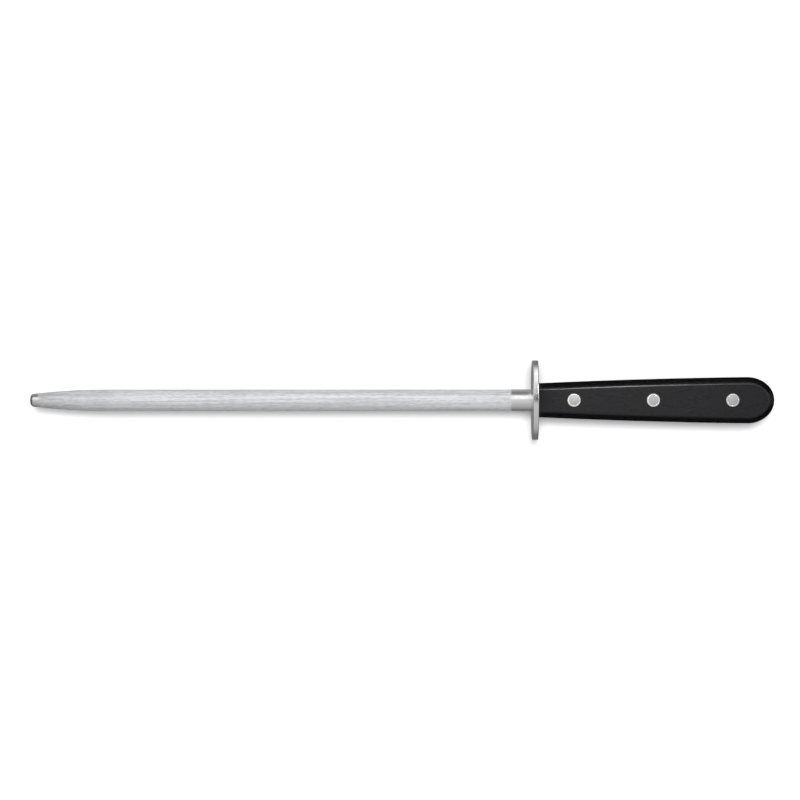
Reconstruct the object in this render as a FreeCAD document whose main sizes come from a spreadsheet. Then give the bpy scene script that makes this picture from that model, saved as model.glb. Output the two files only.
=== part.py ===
"""Knife sharpening steel: a grooved round rod, a disc guard and a riveted two-scale handle.

Frame, in millimetres: the origin is on the rod's axis, in the guard's face that looks at the tip.
-X runs along the rod to its tip, +X runs through the handle to its butt, the handle's width lies
along Y, and its two flat faces look along +Z and -Z.
"""

import FreeCAD, Part
import math
import os
import re

import Sketcher

# The driving dimensions: alias, value in millimetres (or a count), meaning.
SIZES = [
    ("RodDiameter", 11.2, "ground rod, from the neck to the start of its narrowing"),
    ("RodLength", 260.0, "tip to guard"),
    ("OgiveLength", 40.0, "length over which the rod narrows towards its tip"),
    ("OgiveRadius", 333.0, "curve of that narrowing, seen from the side"),
    ("TipRounding", 2.0, "rim of the blunt tip"),
    ("SeatDiameter", 11.6, "root of the rod: the guard slides over the rod and is pressed onto it"),
    ("RootLength", 10.0, "the root's reach behind the guard"),
    ("RootTaper", 5.0, "end of the root that slopes down to the tang"),
    ("SlotOverrun", 1.0, "how far the slot's cutter runs out past the root"),
    ("RootClearance", 0.2, "gap between the root and the relief in each scale"),
    ("TangThickness", 3.5, "flat tang, as long and as wide as the handle"),
    ("GuardDiameter", 41.2, "disc guard"),
    ("GuardThickness", 3.1, "disc guard"),
    ("GuardRounding", 0.7, "both rims of the guard"),
    ("HandleLength", 122.4, "guard to butt"),
    ("HandleThickness", 18.0, "across both scales and the tang"),
    ("FrontWidth", 17.6, "width of the handle at the guard"),
    ("ButtWidth", 24.0, "greatest width of the handle, near its butt"),
    ("ButtSetback", 14.1, "end of the butt to the place of greatest width"),
    ("SideRadius", 3230.0, "long shallow curve of the handle's edge"),
    ("ButtRadius", 10.9, "rounding of the butt where the axis leaves it"),
    ("BevelWidth", 3.0, "flat face's edge to the handle's outline, seen from above"),
    ("BevelDepth", 6.5, "the same sloping side of a scale, seen from the end"),
    ("FaceRounding", 1.5, "edge between a scale's flat face and its sloping side"),
    ("SideRounding", 2.6, "edge between the sloping side and the upright one at the tang"),
    ("FirstRivet", 18.4, "guard's rear face to the front rivet"),
    ("RivetPitch", 41.0, "spacing of the rivets along the handle"),
    ("RivetCount", 3, "rivets along the handle"),
    ("HeadDiameter", 6.6, "rivet heads, flush with the scales"),
    ("HeadDepth", 2.5, "rivet heads and their counterbores"),
    ("HeadChamfer", 0.2, "rim of a rivet head"),
    ("TubeDiameter", 4.8, "shank of a rivet's hollow half"),
    ("PinDiameter", 3.0, "shank of a rivet's solid half"),
    ("PinLength", 11.0, "shank of a rivet's solid half"),
    ("TubeBore", 12.0, "depth of the hole in a rivet's hollow half"),
]

RIVET_PLACES = ["front", "middle", "rear"]
NEAR = 0.05  # how closely an edge's place has to match when edges are picked, in millimetres

# Distances used several times, as expressions over the sheet's aliases.
HANDLE_END = "GuardThickness + HandleLength"
HALF_HANDLE = "HandleThickness / 2"
HALF_TANG = "TangThickness / 2"
ROD_RADIUS = "RodDiameter / 2"
SEAT_RADIUS = "SeatDiameter / 2"
ROOT_END = "GuardThickness + RootLength"
TAPER_START = "GuardThickness + RootLength - RootTaper"
FIRST_RIVET = "GuardThickness + FirstRivet"


def cells(expression):
    """The expression with each alias written as a reference to its cell in the sheet."""
    return re.sub(r"\b[A-Z]\w+", r"Sizes.\g<0>", expression)


def add_sheet(doc):
    """The spreadsheet that drives every size."""
    sheet = doc.addObject("Spreadsheet::Sheet", "Sizes")
    for row, (alias, value, meaning) in enumerate(SIZES, start=1):
        sheet.set(f"A{row}", alias)
        sheet.set(f"B{row}", str(value))
        sheet.setAlias(f"B{row}", alias)
        sheet.set(f"C{row}", meaning)
    doc.recompute()


def add_body(doc, label):
    """An empty body for one sub-part."""
    body = doc.addObject("PartDesign::Body", label)
    body.Label = label
    return body


def origin_feature(body, role):
    """One of the body's own origin planes or axes."""
    return next(item for item in body.Origin.OriginFeatures if item.Role == role)


def add_sketch(body, name, plane, height="0"):
    """A sketch on one of the body's origin planes, moved along the plane's normal by height."""
    sketch = body.newObject("Sketcher::SketchObject", name)
    sketch.AttachmentSupport = [(origin_feature(body, plane), "")]
    sketch.MapMode = "FlatFace"
    sketch.setExpression("AttachmentOffset.Base.z", cells(height))
    return sketch


def value_of(sketch, expression):
    """What an expression over the sheet's aliases comes to, for a sketch's first geometry."""
    return float(sketch.evalExpression(cells(expression)))


def point_at(sketch, x, y):
    """The point whose coordinates are the two expressions."""
    return FreeCAD.Vector(value_of(sketch, x), value_of(sketch, y), 0)


def constrain(sketch, kind, *where):
    """A geometric constraint."""
    sketch.addConstraint(Sketcher.Constraint(kind, *where))


def dimension(sketch, expression, kind, *where):
    """A dimension that the sheet drives."""
    value = value_of(sketch, expression)
    index = sketch.addConstraint(Sketcher.Constraint(kind, *where, value))
    sketch.setExpression(f"Constraints[{index}]", cells(expression))


def place_point(sketch, geometry, end, x, y):
    """Hold one end of a piece of geometry at the coordinates x, y, either of which may be on axis."""
    origin = (-1, 1)
    for kind, axis, expression in (("DistanceX", -2, x), ("DistanceY", -1, y)):
        if expression == "0":
            constrain(sketch, "PointOnObject", geometry, end, axis)
        else:
            dimension(sketch, expression, kind, *origin, geometry, end)


def add_polygon(sketch, corners):
    """A closed polygon whose corners are pairs of expressions."""
    count = len(corners)
    points = [point_at(sketch, x, y) for x, y in corners]
    first = sketch.GeometryCount
    for i in range(count):
        sketch.addGeometry(Part.LineSegment(points[i], points[(i + 1) % count]))
    for i, (x, y) in enumerate(corners):
        constrain(sketch, "Coincident", first + (i - 1) % count, 2, first + i, 1)
        place_point(sketch, first + i, 1, x, y)


def add_circle(sketch, x, diameter):
    """A circle centred on the sketch's X axis."""
    radius = value_of(sketch, diameter) / 2
    circle = Part.Circle(point_at(sketch, x, "0"), FreeCAD.Vector(0, 0, 1), radius)
    index = sketch.addGeometry(circle)
    place_point(sketch, index, 3, x, "0")
    dimension(sketch, diameter, "Diameter", index)


def add_arc(sketch, centre, start, end):
    """The arc that runs counter-clockwise from start to end about centre."""
    circle = Part.Circle(centre, FreeCAD.Vector(0, 0, 1), (start - centre).Length)
    angles = [math.atan2(point.y - centre.y, point.x - centre.x) for point in (start, end)]
    return sketch.addGeometry(Part.ArcOfCircle(circle, *angles))


def centre_below(start, end, radius):
    """Centre of the shallow arc of the given radius that rises over the chord from start to end."""
    chord = end - start
    down = FreeCAD.Vector(chord.y, -chord.x, 0).normalize()
    return (start + end) / 2 + down * math.sqrt(radius ** 2 - (chord.Length / 2) ** 2)


def add_outline(body, name, height):
    """The handle's outline: square at the guard, long shallow edges and a rounded butt.

    The butt is an end arc centred on the axis, between two corner arcs.
    """
    widest = f"{HANDLE_END} - ButtSetback"
    sketch = add_sketch(body, name, "XY_Plane", height)

    front = point_at(sketch, "GuardThickness", "FrontWidth / 2")
    wide = point_at(sketch, widest, "ButtWidth / 2")
    side_radius = value_of(sketch, "SideRadius")
    side_centre = centre_below(front, wide, side_radius)
    butt_centre = point_at(sketch, f"{HANDLE_END} - ButtRadius", "0")
    butt_radius = value_of(sketch, "ButtRadius")

    # The corner arc leaves the side at its widest place and touches the end arc from outside.
    outward = (wide - side_centre).normalize()
    across = wide - butt_centre
    reach = across.Length ** 2 - butt_radius ** 2
    corner_radius = reach / (2 * (across.dot(outward) - butt_radius))
    corner_centre = wide - outward * corner_radius
    touch = butt_centre + (butt_centre - corner_centre).normalize() * butt_radius

    def below(point):
        return FreeCAD.Vector(point.x, -point.y, 0)

    line = sketch.addGeometry(Part.LineSegment(below(front), front))
    upper_side = add_arc(sketch, side_centre, wide, front)
    upper_corner = add_arc(sketch, corner_centre, touch, wide)
    butt = add_arc(sketch, butt_centre, below(touch), touch)
    lower_corner = add_arc(sketch, below(corner_centre), below(wide), below(touch))
    lower_side = add_arc(sketch, below(side_centre), below(front), below(wide))

    constrain(sketch, "Coincident", line, 2, upper_side, 2)
    constrain(sketch, "Coincident", line, 1, lower_side, 1)
    constrain(sketch, "Coincident", butt, 1, lower_corner, 2)
    constrain(sketch, "Tangent", upper_side, 1, upper_corner, 2)
    constrain(sketch, "Tangent", upper_corner, 1, butt, 2)
    constrain(sketch, "Tangent", lower_corner, 1, lower_side, 2)
    constrain(sketch, "Symmetric", line, 1, line, 2, -1)
    constrain(sketch, "Symmetric", lower_side, 2, upper_side, 1, -1)
    constrain(sketch, "Symmetric", lower_corner, 2, upper_corner, 1, -1)
    constrain(sketch, "Equal", upper_side, lower_side)

    dimension(sketch, "GuardThickness", "DistanceX", -1, 1, line, 2)
    dimension(sketch, "FrontWidth", "DistanceY", line, 1, line, 2)
    dimension(sketch, widest, "DistanceX", -1, 1, upper_side, 1)
    dimension(sketch, "ButtWidth", "DistanceY", lower_side, 2, upper_side, 1)
    dimension(sketch, f"{HANDLE_END} - ButtRadius", "DistanceX", -1, 1, butt, 3)
    dimension(sketch, "ButtRadius", "Radius", butt)
    dimension(sketch, "SideRadius", "Radius", upper_side)
    return sketch


def revolve(body, kind, profile, axis):
    """A revolution or groove of the profile, a full turn about one of the body's origin axes."""
    feature = body.newObject(f"PartDesign::{kind}", f"{profile.Name}Turned")
    feature.Profile = profile
    feature.ReferenceAxis = (origin_feature(body, axis), [""])
    feature.Angle = 360
    return feature


def dress_edges(body, kind, name, wanted):
    """A fillet or chamfer of those edges of the body's tip that the test wanted picks."""
    body.Document.recompute()
    base = body.Tip
    names = [f"Edge{i}" for i, edge in enumerate(base.Shape.Edges, start=1) if wanted(edge)]
    feature = body.newObject(f"PartDesign::{kind}", name)
    feature.Base = (base, names)
    return feature


def cut_holes(body, cuts):
    """Pocket one rivet's circles and repeat them along the handle.

    cuts holds the sketch height, diameter, depth (or None for right through) and whether the cut
    runs towards +Z.
    """
    pockets = []
    for i, (height, diameter, depth, upwards) in enumerate(cuts):
        circle = add_sketch(body, f"{body.Name}Hole{i}", "XY_Plane", height)
        add_circle(circle, FIRST_RIVET, diameter)
        pocket = body.newObject("PartDesign::Pocket", f"{body.Name}Bore{i}")
        pocket.Profile = circle
        pocket.Reversed = upwards
        if depth:
            pocket.setExpression("Length", cells(depth))
        else:
            pocket.Type = "ThroughAll"
            pocket.SideType = "Symmetric"
        pockets.append(pocket)
    pattern = body.newObject("PartDesign::LinearPattern", f"{body.Name}Rivets")
    pattern.Originals = pockets
    pattern.Direction = (origin_feature(body, "X_Axis"), [""])
    pattern.Mode = "Spacing"
    pattern.setExpression("Offset", cells("RivetPitch"))
    pattern.setExpression("Occurrences", cells("RivetCount"))
    body.Tip = pattern


def make_rod(doc):
    """The round rod: blunt tip, narrowing, straight length and a root slotted for the tang."""
    body = add_body(doc, "sharpening_rod")
    profile = add_sketch(body, "RodProfile", "XY_Plane")
    tip_radius = f"{ROD_RADIUS} - OgiveRadius + sqrt(OgiveRadius ^ 2 - OgiveLength ^ 2)"
    tip = point_at(profile, "-RodLength", "0")
    rim = point_at(profile, "-RodLength", tip_radius)
    shoulder = point_at(profile, "OgiveLength - RodLength", ROD_RADIUS)
    ogive_centre = shoulder - FreeCAD.Vector(0, value_of(profile, "OgiveRadius"), 0)
    corners = [("0", ROD_RADIUS),
               ("0", SEAT_RADIUS),
               (TAPER_START, SEAT_RADIUS),
               (ROOT_END, HALF_TANG),
               (ROOT_END, "0")]
    points = [point_at(profile, x, y) for x, y in corners]

    end_line = profile.addGeometry(Part.LineSegment(tip, rim))
    ogive = add_arc(profile, ogive_centre, shoulder, rim)
    run = [shoulder, *points, tip]
    lines = [profile.addGeometry(Part.LineSegment(a, b)) for a, b in zip(run, run[1:])]
    constrain(profile, "Tangent", ogive, 1, lines[0], 1)
    constrain(profile, "Coincident", ogive, 2, end_line, 2)
    constrain(profile, "Coincident", lines[-1], 2, end_line, 1)
    constrain(profile, "Vertical", end_line)
    constrain(profile, "Horizontal", lines[0])
    for before, after, (x, y) in zip(lines, lines[1:], corners):
        constrain(profile, "Coincident", before, 2, after, 1)
        place_point(profile, after, 1, x, y)
    place_point(profile, end_line, 1, "-RodLength", "0")
    dimension(profile, "OgiveRadius", "Radius", ogive)
    dimension(profile, "OgiveLength - RodLength", "DistanceX", -1, 1, ogive, 1)
    revolve(body, "Revolution", profile, "X_Axis")

    tip_x = -value_of(profile, "RodLength")
    blunt = dress_edges(body, "Fillet", "BluntTip", lambda edge: edge.BoundBox.XMax < tip_x + NEAR)
    blunt.setExpression("Radius", cells("TipRounding"))

    slot_outline = add_sketch(body, "SlotOutline", "XY_Plane")
    edge = f"({SEAT_RADIUS} + SlotOverrun)"
    end = f"{ROOT_END} + SlotOverrun"
    add_polygon(slot_outline, [("GuardThickness", f"-{edge}"),
                               (end, f"-{edge}"),
                               (end, edge),
                               ("GuardThickness", edge)])
    slot = body.newObject("PartDesign::Pocket", "TangSlot")
    slot.Profile = slot_outline
    slot.SideType = "Symmetric"
    slot.setExpression("Length", cells("TangThickness"))
    return body


def make_tang(doc):
    """A flat plate with the handle's outline, let into the rod's slotted root and welded there."""
    body = add_body(doc, "full_tang")
    plate = body.newObject("PartDesign::Pad", "TangPlate")
    plate.Profile = add_outline(body, "TangOutline", "0")
    plate.SideType = "Symmetric"
    plate.setExpression("Length", cells("TangThickness"))
    cut_holes(body, [("0", "TubeDiameter", None, False)])
    return body


def make_guard(doc):
    """A round disc with a bore for the rod and rounded rims."""
    body = add_body(doc, "finger_guard")
    rings = add_sketch(body, "GuardRings", "YZ_Plane")
    add_circle(rings, "0", "GuardDiameter")
    add_circle(rings, "0", "SeatDiameter")
    disc = body.newObject("PartDesign::Pad", "GuardDisc")
    disc.Profile = rings
    disc.setExpression("Length", cells("GuardThickness"))
    rim = value_of(rings, "GuardDiameter") / 2

    def on_rim(edge):
        return edge.Curve.TypeId == "Part::GeomCircle" and abs(edge.Curve.Radius - rim) < NEAR

    rounding = dress_edges(body, "Fillet", "GuardRims", on_rim)
    rounding.setExpression("Radius", cells("GuardRounding"))
    return body


def make_scale(doc, label, side):
    """A grip scale: convex sides, a flat face, counterbored rivet holes and a relief for the root."""
    body = add_body(doc, label)
    outline = add_outline(body, f"{label}_outline", f"{side} * {HALF_TANG}")
    blank = body.newObject("PartDesign::Pad", f"{label}_blank")
    blank.Profile = outline
    blank.Reversed = side < 0
    blank.setExpression("Length", cells(f"{HALF_HANDLE} - {HALF_TANG}"))

    face = side * value_of(outline, HALF_HANDLE)
    bevel_foot = side * value_of(outline, f"{HALF_HANDLE} - BevelDepth")
    guard_side = value_of(outline, "GuardThickness")

    def runs_round(height):
        """A test for the edges that follow the outline at a height."""
        def test(edge):
            box = edge.BoundBox
            level = abs(box.ZMin - height) < NEAR and abs(box.ZMax - height) < NEAR
            return level and box.XMax > guard_side + NEAR
        return test

    bevel = dress_edges(body, "Chamfer", f"{label}_bevel", runs_round(face))
    bevel.ChamferType = "Two distances"
    bevel.setExpression("Size", cells("BevelDepth"))
    bevel.setExpression("Size2", cells("BevelWidth"))
    soft_face = dress_edges(body, "Fillet", f"{label}_face_rounding", runs_round(face))
    soft_face.setExpression("Radius", cells("FaceRounding"))
    soft_side = dress_edges(body, "Fillet", f"{label}_side_rounding", runs_round(bevel_foot))
    soft_side.setExpression("Radius", cells("SideRounding"))

    outside = f"{side} * {HALF_HANDLE}"
    upwards = side < 0
    cut_holes(body, [(outside, "TubeDiameter", None, upwards),
                     (outside, "HeadDiameter", "HeadDepth", upwards)])

    relief = add_sketch(body, f"{body.Name}Relief", "XY_Plane")
    wall = f"{SEAT_RADIUS} + RootClearance"
    add_polygon(relief, [("GuardThickness", "0"),
                         ("GuardThickness", wall),
                         (f"{TAPER_START} + RootClearance", wall),
                         (f"{ROOT_END} + 2 * RootClearance", HALF_TANG),
                         (f"{ROOT_END} + 2 * RootClearance", "0")])
    revolve(body, "Groove", relief, "X_Axis")
    return body


def put_rivet(body, number):
    """Move a rivet half, made on the origin, to its place along the handle."""
    body.setExpression("Placement.Base.x", cells(f"{FIRST_RIVET} + {number} * RivetPitch"))


def make_rivet_post(doc, number):
    """Solid half of a cutler's rivet: flush upper head and the pin driven into the hollow half."""
    body = add_body(doc, f"rivet_post_{RIVET_PLACES[number]}")
    profile = add_sketch(body, f"PostProfile{number}", "XZ_Plane")
    under_head = f"{HALF_HANDLE} - HeadDepth"
    add_polygon(profile, [("0", HALF_HANDLE),
                          ("HeadDiameter / 2 - HeadChamfer", HALF_HANDLE),
                          ("HeadDiameter / 2", f"{HALF_HANDLE} - HeadChamfer"),
                          ("HeadDiameter / 2", under_head),
                          ("PinDiameter / 2", under_head),
                          ("PinDiameter / 2", f"{under_head} - PinLength"),
                          ("0", f"{under_head} - PinLength")])
    revolve(body, "Revolution", profile, "Z_Axis")
    put_rivet(body, number)
    return body


def make_rivet_socket(doc, number):
    """Hollow half of a cutler's rivet: flush lower head and a tube that ends under the post's head."""
    body = add_body(doc, f"rivet_socket_{RIVET_PLACES[number]}")
    profile = add_sketch(body, f"SocketProfile{number}", "XZ_Plane")
    under_head = f"HeadDepth - {HALF_HANDLE}"
    mouth = f"{HALF_HANDLE} - HeadDepth"
    add_polygon(profile, [("0", f"-{HALF_HANDLE}"),
                          ("HeadDiameter / 2 - HeadChamfer", f"-{HALF_HANDLE}"),
                          ("HeadDiameter / 2", f"HeadChamfer - {HALF_HANDLE}"),
                          ("HeadDiameter / 2", under_head),
                          ("TubeDiameter / 2", under_head),
                          ("TubeDiameter / 2", mouth),
                          ("PinDiameter / 2", mouth),
                          ("PinDiameter / 2", f"{mouth} - TubeBore"),
                          ("0", f"{mouth} - TubeBore")])
    revolve(body, "Revolution", profile, "Z_Axis")
    put_rivet(body, number)
    return body


def check_document(doc, bodies):
    """Stop if a feature failed or cut nothing, or if a sub-part isn't one valid solid."""
    for item in doc.Objects:
        if {"Invalid", "Error"} & set(item.State):
            raise RuntimeError(f"{item.Name}: {item.State} {item.getStatusString()}")
        if item.TypeId in ("PartDesign::Pocket", "PartDesign::Groove"):
            if item.Shape.Volume >= item.BaseFeature.Shape.Volume:
                raise RuntimeError(f"{item.Name} cuts nothing")
    for body in bodies:
        shape = body.Shape
        if shape.isNull() or not shape.isValid() or len(shape.Solids) != 1:
            raise RuntimeError(f"{body.Label} is not one valid solid")


def main():
    """Build every sub-part and write one STEP file for each."""
    doc = FreeCAD.newDocument("SharpeningSteel")
    add_sheet(doc)
    bodies = [make_rod(doc), make_tang(doc), make_guard(doc)]
    bodies.append(make_scale(doc, "handle_scale_upper", 1))
    bodies.append(make_scale(doc, "handle_scale_lower", -1))
    for number in range(len(RIVET_PLACES)):
        bodies.append(make_rivet_post(doc, number))
        bodies.append(make_rivet_socket(doc, number))
    doc.recompute()
    check_document(doc, bodies)
    os.makedirs("parts", exist_ok=True)
    for body in bodies:
        body.Shape.exportStep(f"parts/{body.Label}.step")
        box = body.Shape.optimalBoundingBox()
        print(f"{body.Label}: {body.Shape.Volume:.1f} mm3, "
              f"x {box.XMin:.2f} to {box.XMax:.2f}, y {box.YMin:.2f} to {box.YMax:.2f}, "
              f"z {box.ZMin:.2f} to {box.ZMax:.2f}")


main()
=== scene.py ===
"""Looks of a riveted-handle sharpening steel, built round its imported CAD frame.

Everything is in metres and in the frame of the part: the rod lies along X with its tip at -X,
the guard's front face is the plane X = 0, and the handle's two scales lie above and below Z = 0.
"""

import math

import bmesh
import bpy
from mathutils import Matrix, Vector


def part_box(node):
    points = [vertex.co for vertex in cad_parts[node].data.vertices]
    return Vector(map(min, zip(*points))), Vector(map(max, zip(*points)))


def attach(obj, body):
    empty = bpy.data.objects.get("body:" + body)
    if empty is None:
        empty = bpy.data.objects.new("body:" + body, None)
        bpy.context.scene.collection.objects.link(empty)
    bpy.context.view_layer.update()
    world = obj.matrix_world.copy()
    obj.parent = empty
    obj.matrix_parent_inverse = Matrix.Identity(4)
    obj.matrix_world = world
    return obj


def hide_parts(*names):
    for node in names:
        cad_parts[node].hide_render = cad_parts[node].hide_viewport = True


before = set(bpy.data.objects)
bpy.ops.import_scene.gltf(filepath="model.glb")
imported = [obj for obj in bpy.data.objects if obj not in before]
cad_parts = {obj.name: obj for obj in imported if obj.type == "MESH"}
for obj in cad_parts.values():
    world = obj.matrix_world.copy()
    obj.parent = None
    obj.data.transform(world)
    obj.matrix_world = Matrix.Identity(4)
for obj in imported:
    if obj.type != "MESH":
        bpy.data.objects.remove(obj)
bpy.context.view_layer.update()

bl_info = {
    "name": "Sharpening Steel",
    "version": (1, 0, 0),
    "blender": (4, 5, 0),
    "location": "View3D > Sidebar > Steel",
    "description": "Builds a ridged sharpening steel with a guard and a riveted two-scale handle",
    "category": "Add Mesh",
}

MM = 0.001
BODY = "root"

ROD_LOW, ROD_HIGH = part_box("sharpening_rod")
TANG_LOW, TANG_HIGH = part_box("full_tang")
GUARD_LOW, GUARD_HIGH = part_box("finger_guard")
SCALE_LOW, SCALE_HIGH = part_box("handle_scale_upper")
PIN_LOW, PIN_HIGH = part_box("rivet_post_front")
PIN_NEXT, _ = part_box("rivet_post_middle")
TUBE_LOW, TUBE_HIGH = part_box("rivet_socket_front")

TURN = 2.0 * math.pi
SHARP_ANGLE = math.radians(28.0)
MERGE_DISTANCE = 0.0005 * MM
# Face mask of the ring at each rivet head's edge: smoother there, and painted paler as a highlight.
RING = "polished_ring"

ROOT_TAPER = 5.0 * MM
HOLE_CLEARANCE = 0.03 * MM
RIDGE_UNEVENNESS = 0.025 * MM
WANDER_WAVE = 24.0 * MM
PATCH_LENGTH = 30.0 * MM
PATCH_WIDTH = 0.8 * MM
MARK_SHADE = 0.93


# ---------------------------------------------------------------- sizes and colours that a user may change


def length(name, default, description):
    """A length property in metres, given here in millimetres."""
    return bpy.props.FloatProperty(
        name=name, default=default * MM, min=0.0, precision=5, unit="LENGTH", description=description
    )


def colour(name, hex_value, description):
    """A colour property, given as an sRGB hex value."""
    return bpy.props.FloatVectorProperty(
        name=name, default=linear(hex_value), size=3, min=0.0, max=1.0, subtype="COLOR",
        description=description,
    )


def linear(hex_value):
    """Turns an sRGB hex value such as 'C8C9CB' into a linear colour."""
    channels = [int(hex_value[i:i + 2], 16) / 255.0 for i in (0, 2, 4)]
    return tuple(c / 12.92 if c <= 0.04045 else ((c + 0.055) / 1.055) ** 2.4 for c in channels)


class SteelRodSizes(bpy.types.PropertyGroup):
    """Sizes of the rod."""

    radius: length("Radius", 5.6, "Radius over the crests of the ridges")
    ogive_length: length("Ogive length", 40.0, "Length over which the rod narrows to its tip")
    ogive_radius: length("Ogive radius", 333.0, "Radius of the long curve that narrows the tip")
    tip_rounding: length("Tip rounding", 2.0, "Radius that eases the end of the tip")
    tip_length: length("Tip length", 5.5, "Length of the polished tip in front of the ridges")
    neck_length: length("Neck length", 11.6, "Length of the polished neck in front of the guard")
    ridge_depth: length("Ridge depth", 0.075, "Height of a ridge over its valley")
    ridge_count: bpy.props.IntProperty(
        name="Ridges", default=80, min=12, max=120, description="Number of ridges round the rod"
    )
    ring_count: bpy.props.IntProperty(
        name="Rings", default=290, min=10, max=600, description="Number of sections along the ridges"
    )
    wander: bpy.props.FloatProperty(
        name="Wander", default=math.radians(1.6), subtype="ANGLE",
        description="How far the ridges turn to and fro round the rod along its length",
    )
    seed: bpy.props.FloatProperty(
        name="Seed", default=4.0, description="Seed of the ridges' small irregularities"
    )


class SteelGuardSizes(bpy.types.PropertyGroup):
    """Sizes of the finger guard."""

    rounding: length("Rim rounding", 0.45, "Radius of the guard's two rims")
    bore_radius: length("Bore radius", 5.8, "Radius of the seat that the rod is pressed in")


class SteelHandleSizes(bpy.types.PropertyGroup):
    """Sizes of the two handle scales."""

    front_half_width: length("Front half width", 8.8, "Half the handle's width at the guard")
    butt_setback: length("Butt setback", 14.1, "Distance from the widest place to the end")
    side_radius: length("Side radius", 3230.0, "Radius of the long curve of the sides")
    butt_radius: length("Butt radius", 10.9, "Radius of the rounded end")
    bevel_width: length("Bevel width", 3.0, "Width of the sloping side, seen from above")
    bevel_depth: length("Bevel depth", 6.5, "Height of the sloping side")
    face_rounding: length("Face rounding", 1.5, "Radius between the flat face and the sloping side")
    side_rounding: length("Side rounding", 2.6, "Radius between the sloping side and the upright edge")
    seam_ease: length("Seam ease", 0.12, "Small break of the edge along the tang")
    root_radius: length("Root pocket radius", 6.0, "Radius of the pocket for the rod's root")
    root_length: length("Root pocket length", 10.2, "Length of the pocket for the rod's root")


class SteelRivetSizes(bpy.types.PropertyGroup):
    """Sizes of the rivets."""

    count: bpy.props.IntProperty(name="Rivets", default=3, min=1, max=9, description="Number of rivets")
    head_depth: length("Head depth", 2.5, "Height of a rivet's head")
    # The ring is buffed smoother and also painted paler, a painted highlight.
    rim_width: length("Rim width", 0.62, "Width of the polished ring round a head")
    rim_drop: length("Rim drop", 0.06, "How far the ring slopes down at its outer edge")
    tube_radius: length("Tube radius", 2.4, "Outer radius of a socket's tube")
    pin_radius: length("Pin radius", 1.5, "Radius of a post's pin")


class SteelFinishes(bpy.types.PropertyGroup):
    """Colours of the finishes."""

    chrome: colour("Ridged chrome", "DCDDDE", "Crests of the hard-chromed ridges")
    chrome_dark: colour("Chrome valleys", "BDBEC0", "Duller streaks of the ridges")
    polished: colour("Polished steel", "D2D2D2", "Polished tip and neck")
    turned: colour("Turned steel", "CFCFCF", "Guard and tang")
    acetal: colour("Black acetal", "040405", "Handle scales")
    rivet: colour("Rivet alloy", "B4B4B2", "Matt middle of the rivet heads")
    # The ring's colour is far paler than the middle's: a painted highlight along the head's edge.
    rivet_ring_highlight: colour("Rivet ring", "F2F2F0", "Polished ring round the rivet heads")


class SteelStudio(bpy.types.PropertyGroup):
    """Camera and lights."""

    camera_height: bpy.props.FloatProperty(
        name="Camera height", default=2.33, unit="LENGTH",
        description="Height of the camera over the rod's axis",
    )
    field: bpy.props.FloatProperty(
        name="Field", default=0.4147, unit="LENGTH", description="Width of the picture at the rod's axis"
    )
    centre_x: bpy.props.FloatProperty(
        name="Centre", default=-0.0684, unit="LENGTH",
        description="Place of the picture's middle along the rod",
    )
    key_strength: bpy.props.FloatProperty(
        name="Key", default=7.0, description="Strength of the soft light overhead, in watts per square metre"
    )
    fill_strength: bpy.props.FloatProperty(
        name="Fill", default=3.2, description="Strength of the broad light from -Y, in watts per square metre"
    )
    world_strength: bpy.props.FloatProperty(
        name="World", default=1.0, description="Brightness of the bands all round the object"
    )


class SteelSettings(bpy.types.PropertyGroup):
    """All the settings of the sharpening steel."""

    rod: bpy.props.PointerProperty(type=SteelRodSizes)
    guard: bpy.props.PointerProperty(type=SteelGuardSizes)
    handle: bpy.props.PointerProperty(type=SteelHandleSizes)
    rivets: bpy.props.PointerProperty(type=SteelRivetSizes)
    finishes: bpy.props.PointerProperty(type=SteelFinishes)
    studio: bpy.props.PointerProperty(type=SteelStudio)


# ---------------------------------------------------------------- mesh helpers


def rounded(points, radii, steps=8):
    """The polyline with arcs of the given radii in place of its inner corners; radius 0 keeps a corner."""
    result = [Vector(points[0])]
    for before, corner, after, radius in zip(points, points[1:], points[2:], radii):
        corner = Vector(corner)
        if radius == 0.0:
            result.append(corner)
            continue
        back = (Vector(before) - corner).normalized()
        ahead = (Vector(after) - corner).normalized()
        half = back.angle(ahead) / 2.0
        centre = corner + (back + ahead).normalized() * (radius / math.sin(half))
        first = corner + back * (radius / math.tan(half)) - centre
        last = corner + ahead * (radius / math.tan(half)) - centre
        sweep = math.atan2(first.x * last.y - first.y * last.x, first.dot(last))
        for step in range(steps + 1):
            angle = sweep * step / steps
            turned = Vector((
                first.x * math.cos(angle) - first.y * math.sin(angle),
                first.x * math.sin(angle) + first.y * math.cos(angle),
            ))
            result.append(centre + turned)
    result.append(Vector(points[-1]))
    return result


def lathe(bm, profile, place, segments=192, closed=False):
    """Turns a profile of (along, radius) points once round; place(along, radius, angle) gives a vertex."""
    rings = []
    for along, radius in profile:
        if radius < MERGE_DISTANCE:
            rings.append([bm.verts.new(place(along, 0.0, 0.0))])
        else:
            rings.append([bm.verts.new(place(along, radius, TURN * i / segments)) for i in range(segments)])
    pairs = list(zip(rings, rings[1:]))
    if closed:
        pairs.append((rings[-1], rings[0]))
    for one, two in pairs:
        for i in range(segments):
            j = (i + 1) % segments
            corners = [one[i % len(one)], one[j % len(one)], two[j % len(two)], two[i % len(two)]]
            corners = [v for k, v in enumerate(corners) if v is not corners[k - 1]]
            if len(corners) > 2:
                bm.faces.new(corners)


def along_x(along, radius, angle):
    """A point of a piece that is turned round the X axis."""
    return (along, radius * math.cos(angle), radius * math.sin(angle))


def along_z(x_centre):
    """Places the points of a piece that is turned round an upright axis at x_centre."""
    def place(along, radius, angle):
        return (x_centre + radius * math.cos(angle), radius * math.sin(angle), along)
    return place


def new_object(name, mesh):
    """Links a new object that holds the mesh."""
    piece = bpy.data.objects.new(name, mesh)
    bpy.context.scene.collection.objects.link(piece)
    return piece


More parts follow.
